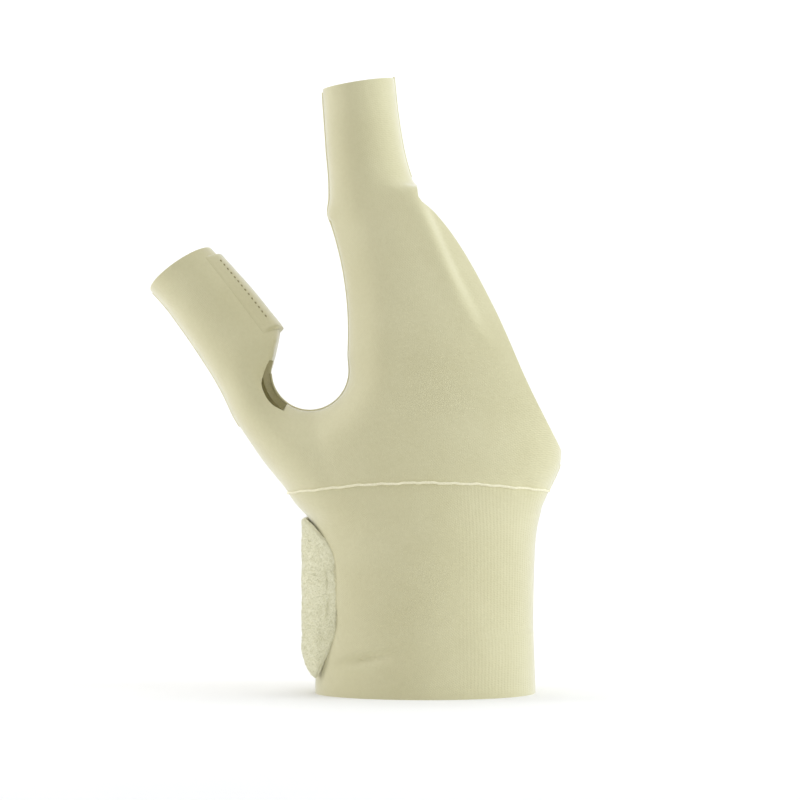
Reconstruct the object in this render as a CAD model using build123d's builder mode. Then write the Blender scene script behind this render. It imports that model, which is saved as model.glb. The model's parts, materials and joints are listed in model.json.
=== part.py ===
"""Soft wrist splint with a thumb sleeve and an index sleeve, standing on its cuff.

+Z runs up the forearm towards the fingers, -Y is the dorsal side, +X is the ulnar side.
The origin is the centre of the cuff's lower opening. Millimetres.
"""

import os
from math import cos, radians, sin, sqrt

from build123d import *

os.makedirs("parts", exist_ok=True)

# Fabric and clearances
fabric = 2.6  # foam-backed laminate
play = 0.4  # between a strap and what it lies on
split_gap = 0.3  # each side of a fold line
reach = 200.0  # larger than the splint, for cutting blocks
overrun = 1.0  # an inner form runs this far past an open end

# Cuff
cuff_width = 74.0
cuff_depth = 52.0
cuff_height = 71.0  # lower opening to the wrist seam, at the middle
ulnar_swell = 1.2  # extra half width just below the flare
radial_swell = 0.2
flare_height = 12.0
seam_droop = 6.8  # the wrist seam is this much lower at x = +-seam_half
seam_half = 60.0
seam_line = 1.1  # width of the raised seam edge
seam_proud = 0.6
elastic_edge = 5.0  # the ribbed elastic takes over at this x

# Palm
palm_width = 93.0
palm_front = 22.0  # half depths
palm_back = 24.8
palm_length = 94.0  # wrist seam to the finger crotch
corner_rise = 8.0  # wrist seam to the ulnar corner of the finger opening

# Index sleeve
index_length = 41.5
index_lean = 7.8  # the tip's right edge lies this far left of the crotch
crotch_x = -2.6
index_root_width = 29.7
index_tip_width = 24.4
index_root_half_depth = 12.4
index_tip_half_depth = 11.0

# Thumb sleeve, measured along its own axis
thumb_angle = 35.0  # from vertical, to the radial side
thumb_tilt = 12.0  # towards the palm
thumb_root_x = -27.0
thumb_root_drop = 4.5  # below the wrist seam
thumb_length = 97.0
thumb_outer = 14.0  # axis to the radial side
thumb_web_root = 14.6  # axis to the web side
thumb_web_tip = 12.4
thumb_tip_half_depth = 11.5
thumb_base = 42.0  # where the sleeve starts on the axis

# Web between the thumb and the index
web_rise = 23.6  # the web's lowest point, above the wrist seam
web_floor_x = -41.0
vent_width = 10.8  # crescent vent at the foot of the thumb sleeve
vent_height = 18.0

# Thumb seam strip and its stitches
strip_start = 59.0
strip_end = 92.0
strip_inner = 8.0  # axis to the strip's inner edge
strip_proud = 0.9
stitch_pitch = 1.7
stitch_length = 1.1
stitch_width = 0.5
stitch_proud = 0.35

# Wrist strap
strap_thickness = 2.6
strap_low = 13.0
strap_high = 58.8
loop_pad_proud = 1.0
hook_thickness = 0.8
tab_reach = 12.2  # how far the end tab shows in from the strap's side
tab_low = 5.6
tab_straight_low = 21.0
tab_straight_high = 40.0
tab_margin = 2.5  # hook and loop patches stay inside the tab's outline
tab_fold_y = 2.0
anchor_fold_x = 27.0
anchor_length = 7.5

# Palmar stay and its pocket
stay_width = 16.0
stay_thickness = 1.2
stay_low = 9.0
stay_length = 84.0
cap_length = 6.0
cap_wall = 0.2
stay_clearance = 0.3
pocket_floor = 0.3  # cuff to the pocket's cavity
pocket_wall = 1.4
pocket_margin = 5.0  # sewn edge beside the cavity
pocket_low = 6.0
pocket_top_margin = 3.0

# Sewn-in stays of the thumb and the index
small_stay_thickness = 1.0
small_stay_half_width = 4.5
small_pocket_half_width = 7.5
small_pocket_wall = 0.7
small_clearance = 0.2
small_end_margin = 3.0
thumb_pocket_rise = 10.0  # above the sleeve's base, clear of the web
thumb_pocket_shift = 3.0  # towards the radial side

# Worked-out places
half_width = cuff_width / 2
half_depth = cuff_depth / 2
crotch_z = cuff_height + palm_length
index_tip_z = crotch_z + index_length
corner_z = cuff_height + corner_rise
palm_half = palm_width / 2
web_z = cuff_height + web_rise
strap_side = half_width + radial_swell + loop_pad_proud + play

thumb_plane = Plane(
    origin=(thumb_root_x, 0, cuff_height - thumb_root_drop),
    x_dir=(cos(radians(thumb_angle)), 0, sin(radians(thumb_angle))),
    z_dir=(
        -sin(radians(thumb_angle)) * cos(radians(thumb_tilt)),
        sin(radians(thumb_tilt)),
        cos(radians(thumb_angle)) * cos(radians(thumb_tilt)),
    ),
)

# Stations: height, left, right, half depth in front, half depth behind
palm_stations = [
    (0, -half_width, half_width, half_depth, half_depth),
    (cuff_height * 0.45, -half_width, half_width, half_depth, half_depth),
    (
        cuff_height - flare_height,
        -half_width - radial_swell,
        half_width + ulnar_swell,
        half_depth - 0.5,
        half_depth - 0.5,
    ),
    (cuff_height, 1.5 - palm_half, palm_half - 3.5, palm_front + 1.5, palm_back),
    (corner_z + 1, -palm_half, palm_half, palm_front, palm_back),
    (cuff_height + 25, 5.0 - palm_half, palm_half - 1, palm_front - 2, palm_back - 0.6),
    (cuff_height + 45, 10.5 - palm_half, palm_half - 9, palm_front - 4, palm_back - 4.8),
    (cuff_height + 65, 13.0 - palm_half, palm_half - 20, palm_front - 6, palm_back - 8.3),
    (crotch_z, crotch_x - index_root_width + 1, crotch_x + 9, index_root_half_depth + 0.6,
     index_root_half_depth + 0.6),
]

index_stations = [
    (crotch_z - 25, crotch_x - index_root_width + 3, crotch_x + 5, index_root_half_depth,
     index_root_half_depth),
    (crotch_z, crotch_x - index_root_width, crotch_x, index_root_half_depth, index_root_half_depth),
    (crotch_z + index_length * 0.4, crotch_x - index_root_width - 1.0, crotch_x - 4.3,
     index_root_half_depth - 0.6, index_root_half_depth - 0.6),
    (index_tip_z, crotch_x - index_lean - index_tip_width, crotch_x - index_lean,
     index_tip_half_depth, index_tip_half_depth),
]

thumb_stations = [
    (4, -thumb_outer - 1, thumb_web_root, 18.6, 18.6),
    (35, -thumb_outer - 0.3, thumb_web_root, 15.5, 15.5),
    (60, -thumb_outer, thumb_web_root - 0.2, 13.0, 13.0),
    (thumb_length, -thumb_outer + 0.5, thumb_web_tip, thumb_tip_half_depth, thumb_tip_half_depth),
]


def tube_form(plane, stations, grow, extra_low=0.0, extra_high=0.0):
    """A smooth closed form through oval stations, each grown outwards by grow."""
    with BuildPart() as form:
        for number, (height, left, right, front, back) in enumerate(stations):
            shift = -extra_low if number == 0 else 0.0
            shift += extra_high if number == len(stations) - 1 else 0.0
            with BuildSketch(plane.offset(height + shift)):
                with Locations(((left + right) / 2, (back - front) / 2)):
                    Ellipse((right - left) / 2 + grow, (front + back) / 2 + grow)
        loft(ruled=True)
    return form.part


def hand_forms(grow, run=0.0):
    """The palm, index and thumb forms; run carries them past the three openings."""
    return [
        tube_form(Plane.XY, palm_stations, grow, extra_low=run, extra_high=run),
        tube_form(Plane.XY, index_stations, grow, extra_high=run),
        tube_form(thumb_plane, thumb_stations, grow, extra_high=run),
    ]


def hand_form(grow):
    """Cuff, palm, index and thumb as one solid."""
    with BuildPart() as form:
        for limb in hand_forms(grow):
            add(limb)
    return form.part


def block(low, high, plane=Plane.XY):
    """A cutting block between two corners given in a plane's own axes."""
    size = [top - bottom for bottom, top in zip(low, high)]
    centre = [(top + bottom) / 2 for bottom, top in zip(low, high)]
    return plane * Pos(*centre) * Box(*size, mode=Mode.PRIVATE)


def oval_wrap(side, front, back, low, high):
    """An upright cylinder whose front and back halves are ovals of different depth."""
    with BuildPart() as wrap:
        with BuildSketch(Plane.XY.offset(low)):
            with BuildLine():
                EllipticalCenterArc((0, 0), side, back, start_angle=0, arc_size=180)
                EllipticalCenterArc((0, 0), side, front, start_angle=180, arc_size=180)
            make_face()
        extrude(amount=high - low)
    return wrap.part


def below_wrist(rise=0.0):
    """Everything under the wrist seam's gently arched line."""
    side_z = cuff_height - seam_droop + rise
    with BuildPart() as zone:
        with BuildSketch(Plane.XZ):
            with BuildLine():
                ThreePointArc((-seam_half, side_z), (0, cuff_height + rise), (seam_half, side_z))
                Polyline((seam_half, side_z), (seam_half, -reach), (-seam_half, -reach), (-seam_half, side_z))
            make_face()
        extrude(amount=reach, both=True)
    return zone.part


def finger_zone(inset):
    """The space of the three free fingers; inset moves the edge's middle into the hand."""
    with BuildPart() as zone:
        with BuildSketch(Plane.XZ):
            with BuildLine():
                edge = Spline(
                    (crotch_x, crotch_z + 0.5),
                    (crotch_x + 12.5 - inset, crotch_z - 13.0 - inset / 2),
                    (crotch_x + 25.5 - inset, crotch_z - 36.0),
                    (palm_half - 11.5, corner_z + 23.0),
                    (palm_half + 1.5, corner_z - 1.5),
                )
                Polyline(edge @ 1, (reach, corner_z - 1.5), (reach, crotch_z + 0.5), edge @ 0)
            make_face()
        extrude(amount=reach, both=True)
    return zone.part


def web_zone(grow):
    """The open space between thumb and index, grown into the hand by grow."""
    left_x = web_floor_x - 11.4
    right_x = web_floor_x + 15.2
    with BuildPart() as zone:
        with BuildSketch(Plane.XZ):
            with BuildLine():
                floor = ThreePointArc((left_x, web_z + 12.5), (web_floor_x, web_z), (right_x, web_z + 17.5))
                side = ThreePointArc(floor @ 1, (right_x - 0.6, web_z + 41), (right_x - 7.2, crotch_z - 2))
                Polyline(
                    side @ 1,
                    (left_x - 8, crotch_z + 5),
                    (left_x + 3.8, web_z + 28.5),
                    floor @ 0,
                )
            make_face()
            if grow:
                offset(amount=grow)
        extrude(amount=reach, both=True)
    return zone.part


def tab_outline(inset):
    """The rounded end tab seen from the front, extruded through the dorsal side."""
    side = -(strap_side + strap_thickness)
    edge_x = side + tab_reach - inset
    top = strap_high - inset
    low = tab_low + inset
    with BuildPart() as zone:
        with BuildSketch(Plane.XZ):
            with BuildLine():
                upper = Spline(
                    (side, top),
                    (edge_x - 2.6, tab_straight_high + 9.5 - inset),
                    (edge_x, tab_straight_high - inset),
                    tangents=[(1.0, -0.7), (0.0, -1.0)],
                )
                straight = Line(upper @ 1, (edge_x, tab_straight_low + inset))
                lower = Spline(
                    straight @ 1,
                    (edge_x - 3.2, tab_low + 9.5 + inset),
                    (edge_x - 8.2, low),
                    tangents=[(0.0, -1.0), (-0.8, -1.0)],
                )
                Polyline(lower @ 1, (side, strap_low + inset), (side - 5, strap_low + inset), (side - 5, top), upper @ 0)
            make_face()
        extrude(amount=reach)
    return zone.part


# Forms that the pieces are cut from
outer = hand_form(0.0)
with BuildPart() as hand_shell:
    add(outer)
    for hollow in hand_forms(-fabric, run=overrun):
        add(hollow, mode=Mode.SUBTRACT)
shell = hand_shell.part
cuff_zone = below_wrist()
web_wall_zone = web_zone(fabric)
web_space = web_zone(0.0)
dorsal_fingers = finger_zone(5.5)
palmar_fingers = finger_zone(0.0)
index_zone = block((-reach, -reach, crotch_z - 2), (reach, reach, reach * 2))
thumb_zone = block((-30, -reach, thumb_base), (18, reach, reach), thumb_plane)
thumb_dorsal_half = block((-30, -reach, 0), (30, 0, reach), thumb_plane)
thumb_palmar_half = block((-30, 0, 0), (30, reach, reach), thumb_plane)
dorsal_half = block((-reach, -reach, -reach), (reach, 0, reach * 2))
palmar_half = block((-reach, 0, -reach), (reach, reach, reach * 2))
elastic_zone = block((elastic_edge, -reach, -reach), (reach, reach, reach * 2))

with BuildPart() as vent:
    with BuildSketch(Plane.XZ):
        with Locations((web_floor_x - 8.4, web_z + 9.0)):
            Ellipse(vent_width / 2, vent_height / 2)
    extrude(amount=reach)

# Cuff
with BuildPart() as cuff_dorsal_panel:
    add(shell)
    add(cuff_zone, mode=Mode.INTERSECT)
    add(dorsal_half, mode=Mode.INTERSECT)
    add(elastic_zone, mode=Mode.SUBTRACT)
cuff_dorsal_panel.part.label = "cuff_dorsal_panel"

with BuildPart() as cuff_palmar_panel:
    add(shell)
    add(cuff_zone, mode=Mode.INTERSECT)
    add(palmar_half, mode=Mode.INTERSECT)
    add(elastic_zone, mode=Mode.SUBTRACT)
cuff_palmar_panel.part.label = "cuff_palmar_panel"

with BuildPart() as cuff_elastic_panel:
    add(shell)
    add(cuff_zone, mode=Mode.INTERSECT)
    add(elastic_zone, mode=Mode.INTERSECT)
cuff_elastic_panel.part.label = "cuff_elastic_panel"

with BuildPart() as wrist_seam_edge:
    add(hand_form(seam_proud))
    add(below_wrist(seam_line / 2), mode=Mode.INTERSECT)
    add(below_wrist(-seam_line / 2), mode=Mode.SUBTRACT)
    add(outer, mode=Mode.SUBTRACT)
wrist_seam_edge.part.label = "wrist_seam_edge"

# Hand
with BuildPart() as hand_dorsal_panel:
    add(shell)
    add(dorsal_half, mode=Mode.INTERSECT)
    for zone in (cuff_zone, index_zone, thumb_zone, web_wall_zone, dorsal_fingers, vent.part):
        add(zone, mode=Mode.SUBTRACT)
hand_dorsal_panel.part.label = "hand_dorsal_panel"

with BuildPart() as hand_palmar_panel:
    add(shell)
    add(palmar_half, mode=Mode.INTERSECT)
    for zone in (cuff_zone, index_zone, thumb_zone, web_wall_zone, palmar_fingers):
        add(zone, mode=Mode.SUBTRACT)
hand_palmar_panel.part.label = "hand_palmar_panel"

with BuildPart() as web_gusset:
    add(outer)
    add(web_wall_zone, mode=Mode.INTERSECT)
    for zone in (web_space, index_zone, thumb_zone, cuff_zone, vent.part):
        add(zone, mode=Mode.SUBTRACT)
    add(block((web_floor_x - 7, -reach, 0), (reach, reach, reach * 2)), mode=Mode.INTERSECT)
web_gusset.part.label = "web_gusset"

# Index sleeve
with BuildPart() as index_sleeve_dorsal:
    add(shell)
    add(index_zone, mode=Mode.INTERSECT)
    add(dorsal_half, mode=Mode.INTERSECT)
    add(dorsal_fingers, mode=Mode.SUBTRACT)
index_sleeve_dorsal.part.label = "index_sleeve_dorsal"

with BuildPart() as index_sleeve_palmar:
    add(shell)
    add(index_zone, mode=Mode.INTERSECT)
    add(palmar_half, mode=Mode.INTERSECT)
    add(palmar_fingers, mode=Mode.SUBTRACT)
index_sleeve_palmar.part.label = "index_sleeve_palmar"

# Thumb sleeve
with BuildPart() as thumb_sleeve_dorsal:
    add(shell)
    add(thumb_zone, mode=Mode.INTERSECT)
    add(thumb_dorsal_half, mode=Mode.INTERSECT)
    add(web_space, mode=Mode.SUBTRACT)
    add(vent.part, mode=Mode.SUBTRACT)
thumb_sleeve_dorsal.part.label = "thumb_sleeve_dorsal"

with BuildPart() as thumb_sleeve_palmar:
    add(shell)
    add(thumb_zone, mode=Mode.INTERSECT)
    add(thumb_palmar_half, mode=Mode.INTERSECT)
    add(web_space, mode=Mode.SUBTRACT)
thumb_sleeve_palmar.part.label = "thumb_sleeve_palmar"

# Thumb seam: the overlapped edge and its row of stitches
strip_zone = block((strip_inner, -reach, strip_start), (reach, 0, strip_end), thumb_plane)
with BuildPart() as thumb_seam_strip:
    add(tube_form(thumb_plane, thumb_stations, strip_proud))
    add(strip_zone, mode=Mode.INTERSECT)
    add(outer, mode=Mode.SUBTRACT)
thumb_seam_strip.part.label = "thumb_seam_strip"

stitch_count = int((strip_end - strip_start - 2 * stitch_pitch) / stitch_pitch)
stitch_x = (strip_inner + thumb_web_tip) / 2 + 0.4
with BuildPart() as thumb_seam_stitches:
    add(tube_form(thumb_plane, thumb_stations, strip_proud + stitch_proud))
    with BuildPart(mode=Mode.PRIVATE) as stitch_row:
        for number in range(stitch_count):
            start = strip_start + stitch_pitch * (number + 1)
            add(block(
                (stitch_x - stitch_width / 2, -reach, start),
                (stitch_x + stitch_width / 2, 0, start + stitch_length),
                thumb_plane,
            ))
    add(stitch_row.part, mode=Mode.INTERSECT)
    add(tube_form(thumb_plane, thumb_stations, strip_proud), mode=Mode.SUBTRACT)
thumb_seam_stitches.part.label = "thumb_seam_stitches"

# Wrist strap: it lies over the palmar pocket and round the radial side
stay_depth = stay_thickness + 2 * cap_wall
cavity_low = half_depth + pocket_floor
cavity_high = cavity_low + stay_depth + 2 * stay_clearance
pocket_face = cavity_high + pocket_wall
strap_front = half_depth + loop_pad_proud + play
strap_back = pocket_face + play
strap_outer_side = strap_side + strap_thickness
strap_outer_back = strap_back + strap_thickness
anchor_fold_y = strap_outer_back * sqrt(1 - (anchor_fold_x / strap_outer_side) ** 2)
print("tab fold axis", (-strap_outer_side, tab_fold_y))
print("strap fold axis", (anchor_fold_x, round(anchor_fold_y, 3)))

strap_outside = oval_wrap(
    strap_outer_side, strap_front + strap_thickness, strap_outer_back, -reach, reach
)
strap_inside = oval_wrap(strap_side, strap_front, strap_back, -reach, reach)
hook_outside = oval_wrap(
    strap_side + hook_thickness, strap_front + hook_thickness, strap_back, -reach, reach
)

with BuildPart() as wrist_strap:
    add(strap_outside)
    add(strap_inside, mode=Mode.SUBTRACT)
    add(
        block(
            (-reach, tab_fold_y + split_gap, strap_low),
            (anchor_fold_x - split_gap, reach, strap_high),
        ),
        mode=Mode.INTERSECT,
    )
wrist_strap.part.label = "wrist_strap"

tab_side = block((-reach, -reach, -reach), (0, tab_fold_y - split_gap, reach))
with BuildPart() as tab_shape:
    add(tab_outline(0.0))
    with BuildSketch(Plane.XY.offset(strap_low)):
        with Locations((-strap_side, 0)):
            Rectangle(3 * strap_thickness, 4 * tab_fold_y)
    extrude(amount=strap_high - strap_low)

with BuildPart() as strap_end_tab:
    add(strap_outside)
    add(hook_outside, mode=Mode.SUBTRACT)
    add(tab_shape.part, mode=Mode.INTERSECT)
    add(tab_side, mode=Mode.INTERSECT)
strap_end_tab.part.label = "strap_end_tab"

with BuildPart() as hook_patch:
    add(hook_outside)
    add(strap_inside, mode=Mode.SUBTRACT)
    add(tab_outline(tab_margin), mode=Mode.INTERSECT)
    add(block((-reach, -reach, -reach), (0, -split_gap, reach)), mode=Mode.INTERSECT)
hook_patch.part.label = "hook_patch"

with BuildPart() as loop_pad:
    add(tube_form(Plane.XY, palm_stations, loop_pad_proud))
    add(tab_outline(tab_margin), mode=Mode.INTERSECT)
    add(block((-reach, -reach, -reach), (0, -split_gap, reach)), mode=Mode.INTERSECT)
    add(outer, mode=Mode.SUBTRACT)
loop_pad.part.label = "loop_pad"

anchor_zone = block(
    (anchor_fold_x + split_gap, 0, strap_low),
    (anchor_fold_x + anchor_length, reach, strap_high),
)
with BuildPart() as strap_anchor:
    add(strap_outside)
    add(anchor_zone, mode=Mode.INTERSECT)
    add(outer, mode=Mode.SUBTRACT)
strap_anchor.part.label = "strap_anchor"

anchor_stitch_count = int((strap_high - strap_low - 4) / (2 * stitch_pitch))
anchor_stitch_x = anchor_fold_x + anchor_length / 2
with BuildPart() as strap_anchor_stitches:
    with BuildPart(mode=Mode.PRIVATE) as anchor_rows:
        for row_x in (anchor_stitch_x - 1.5, anchor_stitch_x + 1.5):
            for number in range(anchor_stitch_count):
                start = strap_low + 2 + number * 2 * stitch_pitch
                add(block(
                    (row_x - stitch_width / 2, 0, start),
                    (row_x + stitch_width / 2, reach, start + stitch_length * 2),
                ))
    add(oval_wrap(
        strap_outer_side + stitch_proud, strap_front, strap_outer_back + stitch_proud, -reach, reach
    ))
    add(anchor_rows.part, mode=Mode.INTERSECT)
    add(strap_outside, mode=Mode.SUBTRACT)
strap_anchor_stitches.part.label = "strap_anchor_stitches"

# Palmar stay in its pocket: the pocket's mouth is at the palm end
stay_high = stay_low + stay_length
cavity_half = stay_width / 2 + cap_wall + stay_clearance
pocket_half = cavity_half + pocket_margin
pocket_high = stay_high + pocket_top_margin
stay_mid_y = (cavity_low + cavity_high) / 2
with BuildPart() as palmar_stay_pocket:
    add(oval_wrap(half_width + 4, half_depth, pocket_face, pocket_low, pocket_high))
    add(block((-pocket_half, 10, 0), (pocket_half, reach, reach)), mode=Mode.INTERSECT)
    add(outer, mode=Mode.SUBTRACT)
    add(wrist_seam_edge.part, mode=Mode.SUBTRACT)
    add(
        block(
            (-cavity_half, cavity_low, stay_low - stay_clearance),
            (cavity_half, cavity_high, reach),
        ),
        mode=Mode.SUBTRACT,
    )
palmar_stay_pocket.part.label = "palmar_stay_pocket"

pocket_stitch_count = int((pocket_high - pocket_low - 4) / (2 * stitch_pitch))
with BuildPart() as palmar_pocket_stitches:
    with BuildPart(mode=Mode.PRIVATE) as pocket_rows:
        for row_x in (1.5 - pocket_half, pocket_half - 1.5):
            for number in range(pocket_stitch_count):
                start = pocket_low + 2 + number * 2 * stitch_pitch
                add(block(
                    (row_x - stitch_width / 2, 10, start),
                    (row_x + stitch_width / 2, reach, start + stitch_length * 2),
                ))
    add(oval_wrap(half_width + 4, half_depth, pocket_face + play / 2, pocket_low, pocket_high))
    add(pocket_rows.part, mode=Mode.INTERSECT)
    add(oval_wrap(half_width + 4, half_depth, pocket_face, pocket_low, pocket_high), mode=Mode.SUBTRACT)
palmar_pocket_stitches.part.label = "palmar_pocket_stitches"

with BuildPart() as palmar_stay:
    with BuildSketch(Plane.XZ.offset(-(stay_mid_y + stay_thickness / 2))):
        with Locations((0, (stay_low + stay_high) / 2)):
            RectangleRounded(stay_width, stay_length - 2 * cap_wall, stay_width / 3)
    extrude(amount=stay_thickness)
palmar_stay.part.label = "palmar_stay"

with BuildPart() as palmar_stay_caps:
    with BuildSketch(Plane.XZ.offset(-(stay_mid_y + stay_depth / 2))):
        with Locations((0, (stay_low + stay_high) / 2)):
            RectangleRounded(stay_width + 2 * cap_wall, stay_length, stay_width / 3 + cap_wall)
    extrude(amount=stay_depth)
    add(
        block((-reach, 0, stay_low + cap_length), (reach, reach, stay_high - cap_length)),
        mode=Mode.SUBTRACT,
    )
    add(palmar_stay.part, mode=Mode.SUBTRACT)
palmar_stay_caps.part.label = "palmar_stay_caps"


def sewn_stay(plane, stations, pocket_block, cavity_block, stay_block):
    """A closed pocket on a sleeve's palmar side and the curved stay inside it."""
    stay_low_grow = small_pocket_wall + small_clearance
    stay_high_grow = stay_low_grow + small_stay_thickness
    cavity_grow = stay_high_grow + small_clearance
    with BuildPart() as stay:
        add(tube_form(plane, stations, stay_high_grow))
        add(stay_block, mode=Mode.INTERSECT)
        add(tube_form(plane, stations, stay_low_grow), mode=Mode.SUBTRACT)
    with BuildPart() as cavity:
        add(tube_form(plane, stations, cavity_grow))
        add(cavity_block, mode=Mode.INTERSECT)
        add(tube_form(plane, stations, small_pocket_wall), mode=Mode.SUBTRACT)
    with BuildPart() as pocket:
        add(tube_form(plane, stations, cavity_grow + small_pocket_wall))
        add(pocket_block, mode=Mode.INTERSECT)
        add(outer, mode=Mode.SUBTRACT)
        add(cavity.part, mode=Mode.SUBTRACT)
    return pocket, stay


def stay_blocks(plane, low, high, shift=0.0):
    """Blocks for the pocket, its cavity and its stay, one inside the other."""
    blocks = []
    for half, trim in (
        (small_pocket_half_width, 0.0),
        (small_stay_half_width + small_clearance, small_end_margin),
        (small_stay_half_width, small_end_margin + small_clearance),
    ):
        blocks.append(block((shift - half, 0, low + trim), (shift + half, reach, high - trim), plane))
    return blocks


thumb_stay_pocket, thumb_stay = sewn_stay(
    thumb_plane,
    thumb_stations,
    *stay_blocks(thumb_plane, thumb_base + thumb_pocket_rise, thumb_length - 4, -thumb_pocket_shift),
)
thumb_stay_pocket.part.label = "thumb_stay_pocket"
thumb_stay.part.label = "thumb_stay"

index_middle = crotch_x - index_lean / 2 - (index_root_width + index_tip_width) / 4
index_stay_pocket, index_stay = sewn_stay(
    Plane.XY,
    index_stations,
    *stay_blocks(Plane.XY, crotch_z + 1, index_tip_z - 3, index_middle),
)
index_stay_pocket.part.label = "index_stay_pocket"
index_stay.part.label = "index_stay"

pieces = [
    cuff_dorsal_panel, cuff_palmar_panel, cuff_elastic_panel, wrist_seam_edge,
    hand_dorsal_panel, hand_palmar_panel, web_gusset,
    index_sleeve_dorsal, index_sleeve_palmar, thumb_sleeve_dorsal, thumb_sleeve_palmar,
    thumb_seam_strip, thumb_seam_stitches,
    wrist_strap, strap_end_tab, hook_patch, loop_pad, strap_anchor, strap_anchor_stitches,
    palmar_stay_pocket, palmar_pocket_stitches, palmar_stay, palmar_stay_caps,
    thumb_stay_pocket, thumb_stay, index_stay_pocket, index_stay,
]

for piece in pieces:
    export_step(piece.part, f"parts/{piece.part.label}.step")
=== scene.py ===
"""Looks of the soft wrist splint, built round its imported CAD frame.

Lengths are millimetres in this script and become metres when a mesh is made.
+Z runs to the fingers, -Y is the dorsal side that faces the camera, +X is the ulnar side.
"""

import json
import math

import bmesh
import bpy
import numpy as np
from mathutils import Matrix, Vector
from mathutils.bvhtree import BVHTree


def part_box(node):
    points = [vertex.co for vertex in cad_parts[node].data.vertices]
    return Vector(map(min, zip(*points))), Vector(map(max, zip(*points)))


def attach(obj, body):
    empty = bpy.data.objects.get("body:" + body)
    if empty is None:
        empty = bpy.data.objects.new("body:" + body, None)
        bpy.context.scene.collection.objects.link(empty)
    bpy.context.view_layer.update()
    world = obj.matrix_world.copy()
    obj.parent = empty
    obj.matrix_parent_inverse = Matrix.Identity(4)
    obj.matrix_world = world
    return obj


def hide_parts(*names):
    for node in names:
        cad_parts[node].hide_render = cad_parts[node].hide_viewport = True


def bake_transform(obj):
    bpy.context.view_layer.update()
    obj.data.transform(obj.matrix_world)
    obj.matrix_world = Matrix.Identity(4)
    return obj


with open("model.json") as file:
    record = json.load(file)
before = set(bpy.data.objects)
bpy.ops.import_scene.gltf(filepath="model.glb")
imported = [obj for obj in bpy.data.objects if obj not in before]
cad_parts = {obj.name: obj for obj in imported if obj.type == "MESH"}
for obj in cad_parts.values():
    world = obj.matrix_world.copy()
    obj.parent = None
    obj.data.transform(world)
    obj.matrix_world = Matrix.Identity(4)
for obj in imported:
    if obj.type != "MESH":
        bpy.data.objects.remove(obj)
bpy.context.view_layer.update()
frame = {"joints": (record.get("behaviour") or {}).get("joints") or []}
MM = 0.001


# ---- landmarks from the frame
def corner(node, side):
    """A CAD node's lowest (0) or highest (1) corner in millimetres."""
    return np.array(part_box(node)[side]) / MM


FABRIC = 2.6
CUT_DEPTH = 60.0  # cutters reach this far to the front and back
FAR_BEHIND = 70.0  # rays from the palmar side start here
SEAM_STEP = 0.8
STRAP_THICK = 2.6
WRIST_Z = corner("cuff_dorsal_panel", 1)[2]
CROTCH_Z = corner("index_sleeve_palmar", 0)[2] + 2.0
INDEX_TOP = corner("index_sleeve_palmar", 1)[2]
CUFF_DEPTH = -corner("cuff_dorsal_panel", 0)[1]
STRAP_SIDE = -corner("strap_end_tab", 0)[0]
STRAP_LOW = corner("wrist_strap", 0)[2]
STRAP_HIGH = corner("wrist_strap", 1)[2]
STRAP_BACK = corner("wrist_strap", 1)[1]
TAB_LOW = corner("strap_end_tab", 0)[2]
CUFF_SIDE = STRAP_SIDE - STRAP_THICK - 1.6
PALM_RIGHT = corner("hand_palmar_panel", 1)[0]
CORNER_Z = WRIST_Z + 8.0
CROTCH_X = -2.6

JOINTS = {joint["name"]: joint for joint in frame["joints"]}
TAB_FOLD = np.array(JOINTS["tab_peel"]["pos_m"]) / MM
STRAP_FOLD = np.array(JOINTS["strap_swing"]["pos_m"]) / MM

THUMB_ANGLE = math.radians(35.0)
THUMB_TILT = math.radians(12.0)
THUMB_ROOT = np.array([-27.0, 0.0, WRIST_Z - 4.5])
THUMB_SIDE = np.array([math.cos(THUMB_ANGLE), 0.0, math.sin(THUMB_ANGLE)])
THUMB_AXIS = np.array([
    -math.sin(THUMB_ANGLE) * math.cos(THUMB_TILT),
    math.sin(THUMB_TILT),
    math.cos(THUMB_ANGLE) * math.cos(THUMB_TILT),
])
THUMB_BACK = np.cross(THUMB_AXIS, THUMB_SIDE)


# ---- curves and small maths
def eased(places, values):
    """A smooth curve through points, which never swings past them."""
    places = np.array(places, float)
    values = np.array(values, float)
    run = np.diff(places)
    slope = np.diff(values) / run
    tangent = np.zeros_like(values)
    tangent[0] = slope[0]
    tangent[-1] = slope[-1]
    for i in range(1, len(places) - 1):
        if slope[i - 1] * slope[i] > 0:
            before = 2 * run[i] + run[i - 1]
            after = run[i] + 2 * run[i - 1]
            tangent[i] = (before + after) / (before / slope[i - 1] + after / slope[i])

    def curve(x):
        x = np.clip(x, places[0], places[-1])
        k = np.clip(np.searchsorted(places, x) - 1, 0, len(places) - 2)
        t = (x - places[k]) / run[k]
        return (
            (2 * t**3 - 3 * t**2 + 1) * values[k]
            + (t**3 - 2 * t**2 + t) * run[k] * tangent[k]
            + (3 * t**2 - 2 * t**3) * values[k + 1]
            + (t**3 - t**2) * run[k] * tangent[k + 1]
        )

    return curve


def smoothstep(x):
    x = np.clip(x, 0.0, 1.0)
    return x * x * (3 - 2 * x)


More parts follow.
